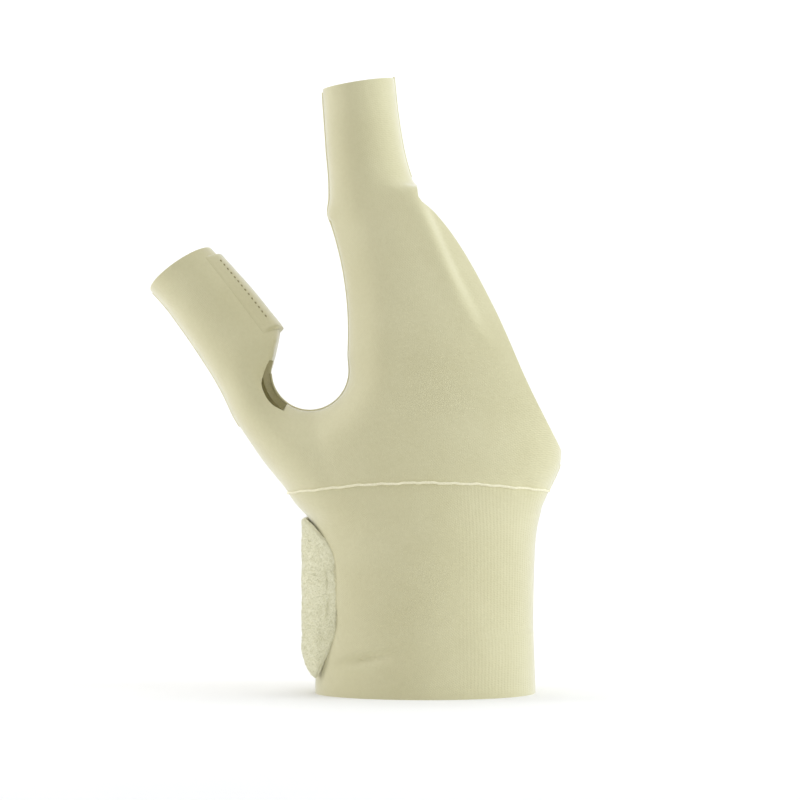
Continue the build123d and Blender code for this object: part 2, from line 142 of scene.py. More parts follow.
def arc_through(first, middle, last, count):
    """Points on the circle through three points of the XZ plane."""
    (ax, ay), (bx, by), (cx, cy) = first, middle, last
    d = 2 * (ax * (by - cy) + bx * (cy - ay) + cx * (ay - by))
    sa, sb, sc = ax * ax + ay * ay, bx * bx + by * by, cx * cx + cy * cy
    ox = (sa * (by - cy) + sb * (cy - ay) + sc * (ay - by)) / d
    oy = (sa * (cx - bx) + sb * (ax - cx) + sc * (bx - ax)) / d
    radius = math.hypot(ax - ox, ay - oy)
    angles = [math.atan2(y - oy, x - ox) for x, y in (first, middle, last)]
    turn = (angles[2] - angles[0]) % (2 * math.pi)
    if (angles[1] - angles[0]) % (2 * math.pi) > turn:
        turn -= 2 * math.pi
    spread = angles[0] + np.linspace(0, 1, count) * turn
    return [(ox + radius * math.cos(a), oy + radius * math.sin(a)) for a in spread]


def spaced(points, step):
    """A polyline's points again, evenly spaced."""
    points = np.array(points, float)
    lengths = np.linalg.norm(np.diff(points, axis=0), axis=1)
    along = np.concatenate([[0], np.cumsum(lengths)])
    count = max(2, int(round(along[-1] / step)) + 1)
    wanted = np.linspace(0, along[-1], count)
    return np.stack([np.interp(wanted, along, points[:, k]) for k in range(points.shape[1])], axis=1)


# ---- mesh helpers
def make_object(name, points, faces):
    """A smooth-shaded mesh object from points in millimetres."""
    mesh = bpy.data.meshes.new(name)
    mesh.from_pydata([tuple(p) for p in np.array(points, float) * MM], [], faces)
    mesh.validate()
    mesh.update()
    thing = bpy.data.objects.new(name, mesh)
    bpy.context.scene.collection.objects.link(thing)
    shade_smooth(thing)
    return thing


def shade_smooth(thing, angle=50.0):
    thing.data.polygons.foreach_set("use_smooth", [True] * len(thing.data.polygons))
    thing.data.set_sharp_from_angle(angle=math.radians(angle))


def apply_modifiers(thing):
    """Bakes an object's modifiers into its mesh."""
    graph = bpy.context.evaluated_depsgraph_get()
    graph.update()
    baked = bpy.data.meshes.new_from_object(thing.evaluated_get(graph))
    thing.modifiers.clear()
    thing.data = baked


def delete(*things):
    for thing in things:
        bpy.data.objects.remove(thing, do_unlink=True)


def copy_of(thing, name):
    twin = thing.copy()
    twin.data = thing.data.copy()
    twin.name = name
    bpy.context.scene.collection.objects.link(twin)
    return twin


def remesh(thing, voxel, smoothing):
    """Merges overlapping closed shells into one even skin and relaxes it."""
    cells = thing.modifiers.new("cells", "REMESH")
    cells.mode = "VOXEL"
    cells.voxel_size = voxel * MM
    cells.use_smooth_shade = True
    relax = thing.modifiers.new("relax", "SMOOTH")
    relax.factor = 0.5
    relax.iterations = smoothing
    apply_modifiers(thing)


def points_of(thing):
    """Vertex places in millimetres."""
    flat = np.empty(len(thing.data.vertices) * 3)
    thing.data.vertices.foreach_get("co", flat)
    return flat.reshape(-1, 3) / MM


def normals_of(thing):
    flat = np.empty(len(thing.data.vertices) * 3, dtype=np.float32)
    thing.data.vertex_normals.foreach_get("vector", flat)
    return flat.reshape(-1, 3).astype(float)


def move_points(thing, points):
    thing.data.vertices.foreach_set("co", (np.array(points) * MM).ravel())
    thing.data.update()


def faced_out(thing):
    """Turns a closed mesh's faces outwards."""
    work = bmesh.new()
    work.from_mesh(thing.data)
    bmesh.ops.recalc_face_normals(work, faces=work.faces)
    work.to_mesh(thing.data)
    work.free()
    return thing


def prism(outline, y_low, y_high):
    """A closed block with an outline in XZ, for cutting."""
    count = len(outline)
    points = [(x, y_low, z) for x, z in outline] + [(x, y_high, z) for x, z in outline]
    faces = [tuple(range(count)), tuple(range(2 * count - 1, count - 1, -1))]
    faces += [(i, i + count, (i + 1) % count + count, (i + 1) % count) for i in range(count)]
    return faced_out(make_object("cutter", points, faces))


def cut(thing, block, open_wall=True):
    """Cuts with a block; open_wall leaves the surface open where the block passed."""
    for item in (thing, block):
        while len(item.data.materials) < 2:
            item.data.materials.append(None)
    block.data.polygons.foreach_set("material_index", [int(open_wall)] * len(block.data.polygons))
    knife = thing.modifiers.new("knife", "BOOLEAN")
    knife.object = block
    knife.operation = "DIFFERENCE"
    knife.solver = "EXACT"
    apply_modifiers(thing)
    if open_wall:
        work = bmesh.new()
        work.from_mesh(thing.data)
        walls = [face for face in work.faces if face.material_index == 1]
        bmesh.ops.delete(work, geom=walls, context="FACES")
        work.to_mesh(thing.data)
        work.free()
    delete(block)


def tube_grid(rings, closed_ends=True):
    """Faces that join rings of points into a tube, with its ends closed."""
    count = len(rings[0])
    faces = []
    for r in range(len(rings) - 1):
        for i in range(count):
            j = (i + 1) % count
            faces.append((r * count + i, r * count + j, (r + 1) * count + j, (r + 1) * count + i))
    if closed_ends:
        faces.append(tuple(range(count - 1, -1, -1)))
        last = (len(rings) - 1) * count
        faces.append(tuple(range(last, last + count)))
    return np.concatenate([np.array(ring, float) for ring in rings]), faces


def join(name, things):
    """One object from several, keeping their places and materials."""
    work = bmesh.new()
    for thing in things:
        work.from_mesh(thing.data)
    mesh = bpy.data.meshes.new(name)
    work.to_mesh(mesh)
    work.free()
    for material in things[0].data.materials:
        mesh.materials.append(material)
    whole = bpy.data.objects.new(name, mesh)
    bpy.context.scene.collection.objects.link(whole)
    delete(*things)
    return whole


# ---- the hand's form
PALM_TABLE = np.array([
    # height, left, right, half depth in front, half depth behind
    (-8.0, -CUFF_SIDE, CUFF_SIDE, CUFF_DEPTH - 0.1, CUFF_DEPTH - 0.2),
    (0.0, -CUFF_SIDE, CUFF_SIDE + 0.2, CUFF_DEPTH - 0.1, CUFF_DEPTH - 0.2),
    (WRIST_Z - 48, -CUFF_SIDE + 0.6, CUFF_SIDE - 0.5, CUFF_DEPTH - 0.4, CUFF_DEPTH - 0.2),
    (WRIST_Z - 22, -CUFF_SIDE - 0.1, CUFF_SIDE + 0.1, CUFF_DEPTH - 0.6, CUFF_DEPTH - 0.4),
    (WRIST_Z - 13, -CUFF_SIDE - 1.3, CUFF_SIDE + 1.3, CUFF_DEPTH - 1.2, CUFF_DEPTH - 0.6),
    (WRIST_Z - 11, -CUFF_SIDE - 3.6, CUFF_SIDE + 1.9, CUFF_DEPTH - 1.4, CUFF_DEPTH - 0.7),
    (WRIST_Z - 9, -CUFF_SIDE - 5.4, CUFF_SIDE + 2.5, CUFF_DEPTH - 1.6, CUFF_DEPTH - 0.8),
    (WRIST_Z - 4, -CUFF_SIDE - 8.9, CUFF_SIDE + 4.4, CUFF_DEPTH - 2.2, CUFF_DEPTH - 1.1),
    (CORNER_Z, 0.6 - PALM_RIGHT, PALM_RIGHT - 0.4, CUFF_DEPTH - 4.0, CUFF_DEPTH - 1.2),
    (WRIST_Z + 25, 5.5 - PALM_RIGHT, PALM_RIGHT - 0.8, CUFF_DEPTH - 6.0, CUFF_DEPTH - 1.8),
    (WRIST_Z + 45, 9.0 - PALM_RIGHT, PALM_RIGHT - 8.6, CUFF_DEPTH - 8.0, CUFF_DEPTH - 6.0),
    (WRIST_Z + 65, 11.5 - PALM_RIGHT, PALM_RIGHT - 19.5, CUFF_DEPTH - 10.2, CUFF_DEPTH - 9.6),
    (WRIST_Z + 82, 13.0 - PALM_RIGHT, PALM_RIGHT - 30.0, CUFF_DEPTH - 12.3, CUFF_DEPTH - 12.0),
    (CROTCH_Z + 4.5, CROTCH_X - 29.0, CROTCH_X + 8.0, CUFF_DEPTH - 13.8, CUFF_DEPTH - 13.6),
])
INDEX_TABLE = np.array([
    (CROTCH_Z - 25, CROTCH_X - 26.0, CROTCH_X + 6.0, 12.0, 12.2),
    (CROTCH_Z - 6, CROTCH_X - 29.6, CROTCH_X + 1.6, 12.2, 12.4),
    (CROTCH_Z + 4, CROTCH_X - 29.6, CROTCH_X - 0.7, 12.3, 12.3),
    (CROTCH_Z + 16, CROTCH_X - 30.5, CROTCH_X - 4.1, 11.9, 11.9),
    (CROTCH_Z + 30, CROTCH_X - 31.5, CROTCH_X - 6.4, 11.4, 11.4),
    (INDEX_TOP + 8, CROTCH_X - 32.6, CROTCH_X - 8.3, 10.9, 10.9),
])
THUMB_LENGTH = 97.0
THUMB_TABLE = np.array([
    (4.0, -14.6, 14.2, 18.2, 18.2),
    (14.0, -15.4, 14.6, 17.4, 17.6),
    (28.0, -16.4, 14.8, 15.6, 16.0),
    (42.0, -16.3, 15.2, 14.2, 14.6),
    (52.0, -14.8, 15.0, 13.4, 13.7),
    (62.0, -14.0, 14.0, 12.8, 13.0),
    (74.0, -13.8, 13.2, 12.3, 12.4),
    (86.0, -14.0, 11.9, 11.9, 12.0),
    (THUMB_LENGTH + 8, -16.4, 9.2, 11.6, 11.6),
])


def upright(along, side, back):
    return np.stack([side, back, np.full_like(side, along)], axis=1)


def along_thumb(along, side, back):
    return THUMB_ROOT + np.outer(side, THUMB_SIDE) + np.outer(back, THUMB_BACK) + along * THUMB_AXIS


def oval_ring(table_curves, along, angles):
    """Side and back offsets of an oval whose front and back halves differ in depth."""
    left, right, front, back = (curve(along) for curve in table_curves)
    side = (left + right) / 2 + (right - left) / 2 * np.cos(angles)
    depth = np.where(np.sin(angles) < 0, front, back) * np.sin(angles)
    return side, depth


def limb(table, place):
    """A closed smooth limb through a table's stations."""
    step = 2.0
    around = 96
    curves = [eased(table[:, 0], table[:, k]) for k in range(1, 5)]
    count = int((table[-1, 0] - table[0, 0]) / step) + 1
    angles = np.linspace(0, 2 * math.pi, around, endpoint=False)
    rings = []
    for along in np.linspace(table[0, 0], table[-1, 0], count):
        side, depth = oval_ring(curves, along, angles)
        rings.append(place(along, side, depth))
    return make_object("limb", *tube_grid(rings))


WEB_FLOOR_X = -41.0
WEB_RISE = 23.6  # the web's lowest point, above the wrist seam
SEAM_DROOP = 6.8  # the wrist seam is this much lower at x = +-SEAM_HALF
SEAM_HALF = 60.0


def web_outline():
    """The open space between thumb and index, as a loop in XZ, and how many points are its seam."""
    floor_x = WEB_FLOOR_X
    floor_z = WRIST_Z + WEB_RISE
    left = (floor_x - 11.4, floor_z + 12.5)
    right = (floor_x + 15.2, floor_z + 17.5)
    floor = arc_through(left, (floor_x, floor_z), right, 40)
    side = arc_through(right, (right[0] - 0.6, floor_z + 41), (right[0] - 7.6, CROTCH_Z - 2), 30)
    rest = [(floor_x - 19.4, CROTCH_Z + 5), (floor_x - 7.6, floor_z + 28.5)]
    return floor + side[1:] + rest, len(floor) + len(side) - 1


def thumb_middle(points):
    """How far behind y = 0 the thumb's seam plane lies, fading to 0 in the palm."""
    along = (points - THUMB_ROOT) @ THUMB_AXIS
    share = smoothstep((-34.0 - points[:, 0]) / 14.0)
    return np.clip(along, 0, None) * math.sin(THUMB_TILT) * share


def pinch_web(form, outline, seam_points):
    """Brings the dorsal and palmar faces together along the web's seam."""
    reach = 13.0
    rim = 0.30
    points = points_of(form)
    seam = spaced(outline[:seam_points], 0.7)
    near = np.full(len(points), reach)
    box = (points[:, 0] < 0) & (points[:, 2] > WRIST_Z) & (points[:, 2] < CROTCH_Z + 4)
    picked = np.where(box)[0]
    gaps = np.linalg.norm(points[picked][:, None, [0, 2]] - seam[None, :, :], axis=2).min(axis=1)
    near[picked] = np.minimum(gaps, reach)
    share = 1 - near / reach
    round_off = np.sqrt(np.clip(1 - share**2, 0, 1))
    fade = smoothstep((CROTCH_Z + 4 - points[:, 2]) / 14.0)
    scale = 1 - fade * (1 - (rim + (1 - rim) * round_off))
    middle = thumb_middle(points)
    points[:, 1] = middle + (points[:, 1] - middle) * scale
    move_points(form, points)


def wrist_line(x):
    """Height of the wrist seam at x: a shallow arch."""
    return WRIST_Z - SEAM_DROOP * (np.asarray(x) / SEAM_HALF) ** 2


def below_wrist():
    """All that lies under the wrist seam, in XZ."""
    xs = np.linspace(-75, 75, 61)
    return [(x, float(wrist_line(x))) for x in xs] + [(75, -60), (-75, -60)]


def finger_outline():
    """The free fingers' space in XZ."""
    edge = eased(
        [CORNER_Z - 1.5, CORNER_Z + 23, CROTCH_Z - 36, CROTCH_Z - 13, CROTCH_Z - 3.5, CROTCH_Z + 0.6,
         CROTCH_Z + 8, CROTCH_Z + 15],
        [PALM_RIGHT + 1.2, PALM_RIGHT - 11.6, CROTCH_X + 25.5, CROTCH_X + 12.7, CROTCH_X + 5.0,
         CROTCH_X + 0.4, CROTCH_X - 0.4, CROTCH_X - 2.2],
    )
    heights = np.linspace(CORNER_Z - 1.5, CROTCH_Z + 15, 66)
    return [(float(edge(z)), z) for z in heights] + [(90, CROTCH_Z + 15), (90, CORNER_Z - 1.5)]


def build_form():
    """The closed outer form of cuff, palm, index and thumb, with the web pinched to a seam."""
    limbs = [limb(PALM_TABLE, upright), limb(INDEX_TABLE, upright), limb(THUMB_TABLE, along_thumb)]
    form = join("form", limbs)
    remesh(form, voxel=1.1, smoothing=14)
    outline, seam_points = web_outline()
    cut(form, prism(outline, -CUT_DEPTH, CUT_DEPTH), open_wall=False)
    pinch_web(form, outline, seam_points)
    remesh(form, voxel=1.0, smoothing=10)
    return form


# ---- materials
def shader_nodes(name):
    material = bpy.data.materials.new(name)
    material.use_nodes = True
    tree = material.node_tree
    return material, tree.nodes, tree.links, tree.nodes["Principled BSDF"]


def set_inputs(node, values):
    for socket, value in values.items():
        node.inputs[socket].default_value = value


def maths(nodes, links, operation, first, second=0.0, third=0.0):
    node = nodes.new("ShaderNodeMath")
    node.operation = operation
    for index, value in enumerate((first, second, third)):
        if isinstance(value, bpy.types.NodeSocket):
            links.new(value, node.inputs[index])
        else:
            node.inputs[index].default_value = value
    return node.outputs[0]


def noise(nodes, links, vector, scale, detail=2.0):
    node = nodes.new("ShaderNodeTexNoise")
    set_inputs(node, {"Scale": scale, "Detail": detail})
    links.new(vector, node.inputs["Vector"])
    return node.outputs["Fac"]


def tinted(nodes, links, factor, dark, light):
    """A colour between two, by a factor from 0 to 1."""
    ramp = nodes.new("ShaderNodeValToRGB")
    ramp.color_ramp.elements[0].color = (*dark, 1)
    ramp.color_ramp.elements[1].color = (*light, 1)
    ramp.color_ramp.elements[0].position = 0.25
    ramp.color_ramp.elements[1].position = 0.75
    links.new(factor, ramp.inputs["Fac"])
    return ramp.outputs["Color"]


def bumped(nodes, links, bsdf, height, distance, strength=1.0, under=None):
    bump = nodes.new("ShaderNodeBump")
    set_inputs(bump, {"Strength": strength, "Distance": distance * MM})
    links.new(height, bump.inputs["Height"])
    if under is not None:
        links.new(under, bump.inputs["Normal"])
    links.new(bump.outputs["Normal"], bsdf.inputs["Normal"])
    return bump.outputs["Normal"]


def srgb(red, green, blue):
    """A colour from eight-bit screen values."""
    return tuple(
        c / 12.92 if c <= 0.04045 else ((c + 0.055) / 1.055) ** 2.4
        for c in (red / 255, green / 255, blue / 255)
    )


KHAKI_DARK = srgb(198, 192, 152)
KHAKI_LIGHT = srgb(209, 204, 167)
KNIT_PITCH = 0.55
RIB_PITCH = 1.25


def knit_height(nodes, links, place, pitch):
    """A fine jersey surface: crossed waves in the object's own space."""
    turn = nodes.new("ShaderNodeMapping")
    turn.inputs["Rotation"].default_value = (0.6, 0.4, 0.785)
    links.new(place, turn.inputs["Vector"])
    heights = []
    for axis in ("X", "Y", "Z"):
        wave = nodes.new("ShaderNodeTexWave")
        wave.wave_type = "BANDS"
        wave.bands_direction = axis
        set_inputs(wave, {"Scale": 0.314 / (pitch * MM), "Distortion": 0.6, "Detail": 0.0})
        links.new(turn.outputs["Vector"], wave.inputs["Vector"])
        heights.append(wave.outputs["Fac"])
    return maths(nodes, links, "ADD", maths(nodes, links, "MULTIPLY", heights[0], heights[1]), heights[2])


def object_place(nodes):
    return nodes.new("ShaderNodeTexCoord").outputs["Object"]


def laminate(name, rib_from=None):
    """Matt foam-backed jersey; rib_from adds fine upright ribs past that x, in millimetres."""
    material, nodes, links, bsdf = shader_nodes(name)
    place = object_place(nodes)
    mottled = noise(nodes, links, place, 38.0, 3.0)
    fine = noise(nodes, links, place, 900.0, 2.0)
    mix = maths(nodes, links, "MULTIPLY_ADD", fine, 0.35, maths(nodes, links, "MULTIPLY", mottled, 0.65))
    links.new(tinted(nodes, links, mix, KHAKI_DARK, KHAKI_LIGHT), bsdf.inputs["Base Color"])
    set_inputs(bsdf, {
        "Roughness": 0.86, "Sheen Weight": 0.9, "Sheen Roughness": 0.5, "Specular IOR Level": 0.25,
    })
    under = bumped(nodes, links, bsdf, knit_height(nodes, links, place, KNIT_PITCH), 0.035, 0.6)
    if rib_from is not None:
        split = nodes.new("ShaderNodeSeparateXYZ")
        links.new(place, split.inputs[0])
        girth = nodes.new("ShaderNodeAttribute")
        girth.attribute_name = "girth"
        turns = maths(nodes, links, "MULTIPLY", girth.outputs["Fac"], 2 * math.pi / (RIB_PITCH * MM))
        wave = maths(nodes, links, "SINE", turns)
        ramp = nodes.new("ShaderNodeMapRange")
        ramp.interpolation_type = "SMOOTHSTEP"
        set_inputs(ramp, {"From Min": (rib_from - 3) * MM, "From Max": (rib_from + 10) * MM})
        links.new(split.outputs["X"], ramp.inputs["Value"])
        ribs = maths(nodes, links, "MULTIPLY", wave, ramp.outputs["Result"])
        bumped(nodes, links, bsdf, ribs, 0.024, 0.6, under)
    return material


def grained(name, dark, light, grain, depth, roughness, strength=1.0, stretch=None):
    """A speckled, finely bumped material; stretch draws the grain out along an axis."""
    material, nodes, links, bsdf = shader_nodes(name)
    place = object_place(nodes)
    if stretch is not None:
        squeeze = nodes.new("ShaderNodeMapping")
        squeeze.inputs["Scale"].default_value = stretch
        links.new(place, squeeze.inputs["Vector"])
        place = squeeze.outputs["Vector"]
    speckle = noise(nodes, links, place, grain, 4.0)
    links.new(tinted(nodes, links, speckle, dark, light), bsdf.inputs["Base Color"])
    bsdf.inputs["Roughness"].default_value = roughness
    bumped(nodes, links, bsdf, speckle, depth, strength)
    return material, bsdf


def plain_fabric(name, dark, light, grain, depth, roughness=0.9, sheen=0.4):
    material, bsdf = grained(name, dark, light, grain, depth, roughness)
    set_inputs(bsdf, {"Sheen Weight": sheen, "Sheen Roughness": 0.5, "Specular IOR Level": 0.2})
    return material


def hard_finish(name, dark, light, grain, depth, roughness, metallic=0.0, stretch=(1, 1, 1)):
    material, bsdf = grained(name, dark, light, grain, depth, roughness, 0.5, stretch)
    bsdf.inputs["Metallic"].default_value = metallic
    return material


LAMINATE = laminate("laminate")
CUFF_LAMINATE = laminate("cuff_laminate", rib_from=8.0)
# The lining is the fabric's inner face. Its colour is painted paler than the outer fabric, as painted light
# that lifts the shade inside the openings and the vent.
LINING_PAINTED_LIGHT = plain_fabric("lining_painted_light", srgb(229, 224, 191), srgb(237, 232, 203), 700.0, 0.08, 0.95, 0.2)
RAW_EDGE = plain_fabric("raw_edge", srgb(204, 198, 158), srgb(214, 208, 170), 1200.0, 0.06)
SEAM_EDGE = plain_fabric("seam_edge", srgb(226, 221, 188), srgb(238, 233, 205), 1500.0, 0.05)
LOOP_PILE = plain_fabric("loop_pile", srgb(214, 211, 178), srgb(230, 228, 202), 1400.0, 0.14, 0.95, 0.6)
THREAD = plain_fabric("thread", srgb(150, 143, 106), srgb(170, 163, 126), 2500.0, 0.03)
PALE_THREAD = plain_fabric("pale_thread", srgb(212, 206, 170), srgb(224, 218, 186), 2500.0, 0.03)
HOOK_TAPE = hard_finish("hook_tape", srgb(190, 184, 150), srgb(206, 200, 168), 900.0, 0.02, 0.55)
ALUMINIUM = hard_finish(
    "aluminium", (0.66, 0.66, 0.67), (0.78, 0.78, 0.79), 300.0, 0.01, 0.33, metallic=1.0, stretch=(1, 1, 0.06)
)
CAP_PLASTIC = hard_finish("cap_plastic", srgb(214, 212, 200), srgb(226, 224, 214), 160.0, 0.02, 0.45)
STAY_PLASTIC = hard_finish("stay_plastic", srgb(222, 222, 214), srgb(232, 232, 226), 120.0, 0.01, 0.4)


def dress(thing, *materials):
    thing.data.materials.clear()
    for material in materials:
        thing.data.materials.append(material)


# ---- skins
def make_fabric(thing, outer):
    """Gives an open outer surface its wall: outer face, lining and raw edge take materials 0, 1 and 2; the
    lining's colour is painted paler, as painted light in the shade inside.
    """
    dress(thing, outer, LINING_PAINTED_LIGHT, RAW_EDGE)
    thing.data.polygons.foreach_set("material_index", [0] * len(thing.data.polygons))
    wall = thing.modifiers.new("wall", "SOLIDIFY")
    wall.thickness = FABRIC * MM
    wall.offset = -1.0
    wall.material_offset = 1
    wall.material_offset_rim = 2
    apply_modifiers(thing)
    shade_smooth(thing)


def soften_marks(form):
    """The few soft marks of a stretched, otherwise smooth fabric."""
    points = points_of(form)
    normals = normals_of(form)
    x, y, z = points.T
    front = smoothstep(-y / 8.0)
    wrinkle = np.exp(-(((x + 19.5) / 8.0) ** 2) - ((z - 13.0 - 0.22 * (x + 19.5)) / 1.5) ** 2)
    ledge = smoothstep((x - 8) / 14.0) * smoothstep((21.6 - z) / 1.2) * smoothstep((z - 4) / 10.0)
    pucker = np.exp(-(((x - 33) / 3.2) ** 2) - ((z - 69.5) / 3.0) ** 2)
    web_fold = np.exp(-(((x + 38) / 5.0) ** 2) - ((z - 85) / 7.0) ** 2)
    shoulder_x = eased([112.0, 122.0, 136.0, 150.0, 158.0, 168.0], [24.0, 17.0, 9.8, 3.6, 0.2, -4.4])(z)
    beyond = x - shoulder_x
    fade = smoothstep((z - 110) / 34.0) * smoothstep((180.0 - z) / 22.0)
    shoulder = fade * (0.7 * np.exp(-((beyond / 4.6) ** 2)) - 1.9 * smoothstep((beyond + 0.6) / 5.2))
    shoulder *= smoothstep((174.0 - z) / 12.0)
    push = front * (-1.7 * wrinkle + 0.5 * ledge - 0.5 * pucker - 0.3 * web_fold + shoulder)
    corner_fold = np.exp(-(((x - 43) / 3.0) ** 2) - ((z - 62.5 - 0.25 * y) / 1.4) ** 2)
    sleeve_end = smoothstep((-28.0 - x) / 4.0) * smoothstep((z - 158.2) / 1.0) * smoothstep((166.0 - z) / 5.0)
    push = push - 0.9 * corner_fold + 0.5 * sleeve_end
    move_points(form, points + normals * push[:, None])


def girth_of(thing):
    """Stores how far round the cuff each point lies, so that ribs keep one pitch."""
    points = points_of(thing)
    angles = np.linspace(-math.pi, math.pi, 721)
    side = CUFF_SIDE * np.cos(angles)
    back = CUFF_DEPTH * np.sin(angles)
    along = np.concatenate([[0], np.cumsum(np.hypot(np.diff(side), np.diff(back)))])
    here = np.arctan2(points[:, 1] / CUFF_DEPTH, points[:, 0] / CUFF_SIDE)
    girth = thing.data.attributes.new("girth", "FLOAT", "POINT")
    girth.data.foreach_set("value", (np.interp(here, angles, along) * MM).astype(np.float32))


def slanted_top():
    """The space over the index sleeve's slightly slanted open tip."""
    left = (CROTCH_X - 45, INDEX_TOP - 6.2)
    right = (CROTCH_X + 3, INDEX_TOP + 1.2)
    return [left, right, (right[0], INDEX_TOP + 30), (left[0], INDEX_TOP + 30)]


def thumb_tip_block():
    """A block past the thumb sleeve's open tip, square to its axis."""
    corners = []
    for along in (THUMB_LENGTH, THUMB_LENGTH + 40):
        for side, back in ((-30, -30), (30, -30), (30, 30), (-30, 30)):
            corners.append(THUMB_ROOT + side * THUMB_SIDE + back * THUMB_BACK + along * THUMB_AXIS)
    faces = [(0, 3, 2, 1), (4, 5, 6, 7), (0, 1, 5, 4), (1, 2, 6, 5), (2, 3, 7, 6), (3, 0, 4, 7)]
    return faced_out(make_object("cutter", corners, faces))


def vent_outline():
    """The crescent vent at the foot of the thumb sleeve; its right side opens into the web."""
    rise = [23.5, 25.5, 28.8, 32.9, 35.5, 38.4, 40.6]
    left_x = eased(rise, [-47.2, -50.9, -53.6, -54.9, -54.4, -53.4, -52.2])
    heights = np.linspace(rise[0], rise[-1], 40)
    edge = [(float(left_x(height)), WRIST_Z + height) for height in heights]
    return edge + [(-47.0, WRIST_Z + 40.0), (-45.0, WRIST_Z + 30.0)]


CUFF_REACH = 120.0  # past the thumb, so that nothing of it stays on the cuff
VENT_BACK = 9.5

form = build_form()
soften_marks(form)

hand_skin = copy_of(form, "hand_skin")
cuff_skin = copy_of(form, "cuff_skin")
for outline in (below_wrist(), slanted_top()):
    cut(hand_skin, prism(outline, -CUT_DEPTH, CUT_DEPTH))
cut(hand_skin, thumb_tip_block())
cut(hand_skin, prism(finger_outline(), -CUT_DEPTH, CUT_DEPTH))
cut(hand_skin, prism(vent_outline(), -CUT_DEPTH, VENT_BACK))
make_fabric(hand_skin, LAMINATE)

under_floor = [(-CUFF_REACH, 0), (CUFF_REACH, 0), (CUFF_REACH, -60), (-CUFF_REACH, -60)]
over_wrist = [(x, float(wrist_line(x)) - 0.15) for x in np.linspace(-CUFF_REACH, CUFF_REACH, 97)]
over_wrist += [(CUFF_REACH, 300), (-CUFF_REACH, 300)]
for outline in (under_floor, over_wrist):
    cut(cuff_skin, prism(outline, -CUT_DEPTH, CUT_DEPTH))
girth_of(cuff_skin)
make_fabric(cuff_skin, CUFF_LAMINATE)


# ---- patches, ridges and stitches
SKIN_TREE = BVHTree.FromPolygons(
    [tuple(p) for p in points_of(form)], [tuple(face.vertices) for face in form.data.polygons]
)


def on_skin(origins, directions):
    """Where rays meet the closed form, with the outward normals there."""
    places, normals = [], []
    for origin, direction in zip(origins, directions):
        place, normal, _, _ = SKIN_TREE.ray_cast(Vector(origin), Vector(direction).normalized())
        if place is None:
            place, normal, _, _ = SKIN_TREE.find_nearest(Vector(origin))
        places.append(tuple(place))
        normals.append(tuple(normal))
    return np.array(places), np.array(normals)


def skin_grid(origins, directions):
    """on_skin for a grid of rays, with the normals evened out over the grid."""
    rows, columns = origins.shape[:2]
    aims = np.broadcast_to(directions, origins.shape).reshape(-1, 3)
    places, normals = on_skin(origins.reshape(-1, 3), aims)
    places = places.reshape(rows, columns, 3)
    normals = normals.reshape(rows, columns, 3)
    for _ in range(3):
        spread = np.pad(normals, ((1, 1), (1, 1), (0, 0)), mode="edge")
        normals = (spread[1:-1, 1:-1] * 2 + spread[:-2, 1:-1] + spread[2:, 1:-1] + spread[1:-1, :-2]
                   + spread[1:-1, 2:])
        normals /= np.linalg.norm(normals, axis=2, keepdims=True)
    return places, normals


def slab(name, top, bottom):
    """A closed piece between two grids of points."""
    rows, columns = top.shape[:2]
    size = rows * columns
    faces = []
    for r in range(rows - 1):
        for c in range(columns - 1):
            a, b = r * columns + c, r * columns + c + 1
            d, e = a + columns, b + columns
            faces.append((a, b, e, d))
            faces.append((size + a, size + d, size + e, size + b))
    ring = list(range(columns))
    ring += [r * columns + columns - 1 for r in range(1, rows)]
    ring += [(rows - 1) * columns + c for c in range(columns - 2, -1, -1)]
    ring += [r * columns for r in range(rows - 2, 0, -1)]
    for a, b in zip(ring, ring[1:] + ring[:1]):
        faces.append((b, a, size + a, size + b))
    thing = make_object(name, np.concatenate([top.reshape(-1, 3), bottom.reshape(-1, 3)]), faces)
    faced_out(thing)
    shade_smooth(thing, 60.0)
    return thing


def run_along(grid, axis):
    """How far each point of a grid lies from its first row (0) or column (1)."""
    gaps = np.linalg.norm(np.diff(grid, axis=axis), axis=2)
    return np.concatenate([np.zeros_like(gaps.take([0], axis)), np.cumsum(gaps, axis=axis)], axis=axis)


def edge_distance(grid, joined=(False, False)):
    """How far each point of a grid lies from its border, in millimetres.

    joined says whether the first and the last row meet another piece, and so aren't an edge.
    """
    across, down = run_along(grid, 1), run_along(grid, 0)
    gaps = [across, across[:, -1:] - across]
    if not joined[0]:
        gaps.append(down)
    if not joined[1]:
        gaps.append(down[-1:] - down)
    return np.minimum.reduce(gaps)


def rounded(distance, radius):
    """0 at an edge, 1 past radius, along a quarter circle."""
    share = np.clip(distance / radius, 0, 1)
    return np.sqrt(1 - (1 - share) ** 2)


def ridge(name, path, normals, width, proud, sunk=0.5, closed=False, wave=0.0):
    """A low rounded bead laid along a line on the skin."""
    path = np.array(path)
    if closed:
        tangent = np.roll(path, -1, axis=0) - np.roll(path, 1, axis=0)
    else:
        tangent = np.gradient(path, axis=0)
    tangent /= np.linalg.norm(tangent, axis=1, keepdims=True)
    side = np.cross(tangent, normals)
    side /= np.linalg.norm(side, axis=1, keepdims=True)
    place = np.arange(len(path))
    sway = np.sin(place * 0.37) + 0.7 * np.sin(place * 0.153 + 1.0) + 0.5 * np.sin(place * 0.83 + 2.0)
    sway = wave * sway
    angles = np.radians([-90, -62, -30, 0, 30, 62, 90, 135, 180, 225])
    rings = []
    for k in range(len(path)):
        lean = np.sin(angles) * width / 2 + sway[k]
        raised = np.cos(angles) * proud * (1 + 0.5 * sway[k])
        rise = np.where(np.cos(angles) > 0, raised, np.cos(angles) * sunk)
        rings.append(path[k] + np.outer(lean, side[k]) + np.outer(rise, normals[k]))
    points, faces = tube_grid(rings, closed_ends=not closed)
    if closed:
        count = len(angles)
        last = (len(rings) - 1) * count
        faces += [(last + i, last + (i + 1) % count, (i + 1) % count, i) for i in range(count)]
    return faced_out(make_object(name, points, faces))


